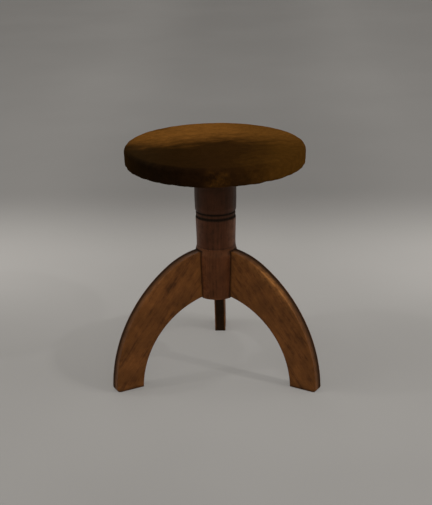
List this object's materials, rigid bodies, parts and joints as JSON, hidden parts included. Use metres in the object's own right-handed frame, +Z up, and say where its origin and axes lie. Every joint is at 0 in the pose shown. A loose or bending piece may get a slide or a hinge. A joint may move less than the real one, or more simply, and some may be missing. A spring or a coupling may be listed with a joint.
{
  "type": "revolving piano stool",
  "caption": "Round upholstered seat that turns and rises on a screw spindle, carried by a turned wooden pillar, a tapered hub and arched plank legs.",
  "frame": {"origin": "on the floor, where the axis of the spindle meets it", "axes": "+Z up along the spindle, the back leg points along +Y, +X to the right of a person who faces the back leg"},
  "size_m": [0.3996, 0.3949, 0.4644],
  "materials": {
    "velvet": "brown-bronze cotton velvet with a brushed nap",
    "wadding": "cotton wadding",
    "board_wood": "bare sawn board",
    "tack_steel": "blued",
    "dust_cloth": "black glazed cotton",
    "column_wood": "dark brown stain, satin varnish",
    "hub_wood": "reddish brown stain, satin varnish",
    "leg_wood": "warm brown stain, worn satin varnish",
    "dowel_wood": "bare beech",
    "black_iron": "blackened",
    "spindle_steel": "turned, lightly oiled",
    "screw_steel": "bright steel"
  },
  "bodies": {
    "base": {"hub": "hub_wood", "pillar": "column_wood", "leg_back": "leg_wood", "leg_left": "leg_wood", "leg_right": "leg_wood", "leg_dowels": "dowel_wood", "spindle_nut": "black_iron", "nut_screws": "screw_steel"},
    "washer": {"stop_washer": "screw_steel"},
    "seat": {"seat_cover": "velvet", "seat_padding": "wadding", "seat_board": "board_wood", "hem_tacks": "tack_steel", "dust_cloth": "dust_cloth", "dust_cloth_tacks": "tack_steel", "collar": "column_wood", "collar_screws": "screw_steel", "spindle_plate": "black_iron", "plate_screws": "screw_steel", "spindle": "spindle_steel", "end_bolt": "screw_steel"}
  },
  "joints": [
    {"name": "seat_rise", "type": "slide", "parent": "base", "child": "washer", "axis": [0, 0, 1], "range_m": [0, 0.095]},
    {"name": "seat_turn", "type": "hinge", "parent": "washer", "child": "seat", "pos_m": [0, 0, 0.3], "axis": [0, 0, 1], "range_deg": [0, 3420]}
  ],
  "couplings": [
    {"joint": "seat_rise", "follows": "seat_turn", "m_per_rad": 0.0015915}
  ]
}
